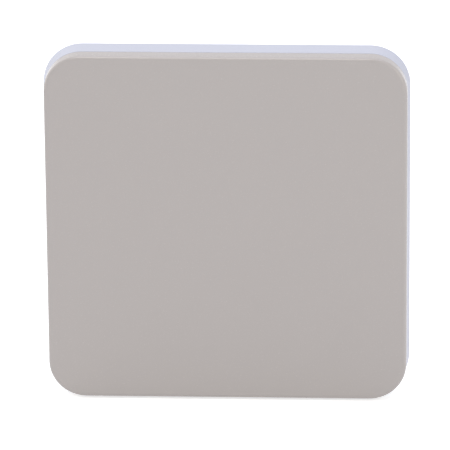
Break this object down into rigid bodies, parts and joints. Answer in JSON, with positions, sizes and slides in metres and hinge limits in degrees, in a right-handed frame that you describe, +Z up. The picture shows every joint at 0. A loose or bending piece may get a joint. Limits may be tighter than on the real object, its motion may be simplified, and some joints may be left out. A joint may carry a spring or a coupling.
{
  "type": "smart button",
  "caption": "Thin square wireless wall button: a sprung push plate over a switch and coin cell, in a housing that slides onto a wall plate.",
  "frame": {"origin": "middle of the wall face, on the plane of the foam tape", "axes": "+Z up, +Y into the wall, so the push plate faces -Y; +X to the right as seen from the front"},
  "size_m": [0.08, 0.009, 0.08],
  "materials": {
    "cap_plastic": "fine matt moulding",
    "housing_plastic": "satin moulding",
    "board_laminate": "green solder mask",
    "steel": "bright",
    "cell_steel": "nickel plated",
    "tin": "tin plated",
    "gold": "gold flash",
    "switch_plastic": "black moulding",
    "capacitor_resin": "cast resin",
    "chip_ceramic": "fired",
    "led_resin": "clear cast",
    "foam_tape": "closed-cell foam"
  },
  "bodies": {
    "bracket": {"wall_plate": "housing_plastic", "foam_tape": "foam_tape"},
    "base": {"base_housing": "housing_plastic", "circuit_board": "board_laminate", "board_screws": "steel", "switch_body": "switch_plastic", "switch_cover": "steel", "switch_dome": "steel", "switch_terminals": "tin", "return_spring_1": "steel", "return_spring_2": "steel", "return_spring_3": "steel", "return_spring_4": "steel", "coin_cell": "cell_steel", "negative_contact": "tin", "positive_contact": "tin", "radio_board": "board_laminate", "radio_shield": "tin", "radio_chip": "switch_plastic", "radio_antenna": "gold", "crystal": "tin", "reservoir_capacitor": "capacitor_resin", "chip_components": "chip_ceramic", "status_led": "led_resin"},
    "cap": {"front_cap": "cap_plastic"},
    "plunger": {"switch_plunger": "switch_plastic"},
    "door": {"battery_door": "housing_plastic"}
  },
  "joints": [
    {"name": "base_slide", "type": "slide", "parent": "bracket", "child": "base", "axis": [0, 0, 1], "range_m": [0, 0.004]},
    {"name": "cap_press", "type": "slide", "parent": "base", "child": "cap", "axis": [0, 1, 0], "range_m": [0, 0.00025], "stiffness_N_per_m": 4000, "springref_m": -0.0003, "deforming": ["return_spring_1", "return_spring_2", "return_spring_3", "return_spring_4"]},
    {"name": "plunger_press", "type": "slide", "parent": "base", "child": "plunger", "axis": [0, 1, 0], "range_m": [0, 0.00025], "deforming": ["switch_dome"]},
    {"name": "door_turn", "type": "hinge", "parent": "base", "child": "door", "pos_m": [0, -0.0012, -0.018], "axis": [0, 1, 0], "range_deg": [0, 50]}
  ],
  "couplings": [
    {"joint": "plunger_press", "follows": "cap_press", "ratio": 1}
  ]
}
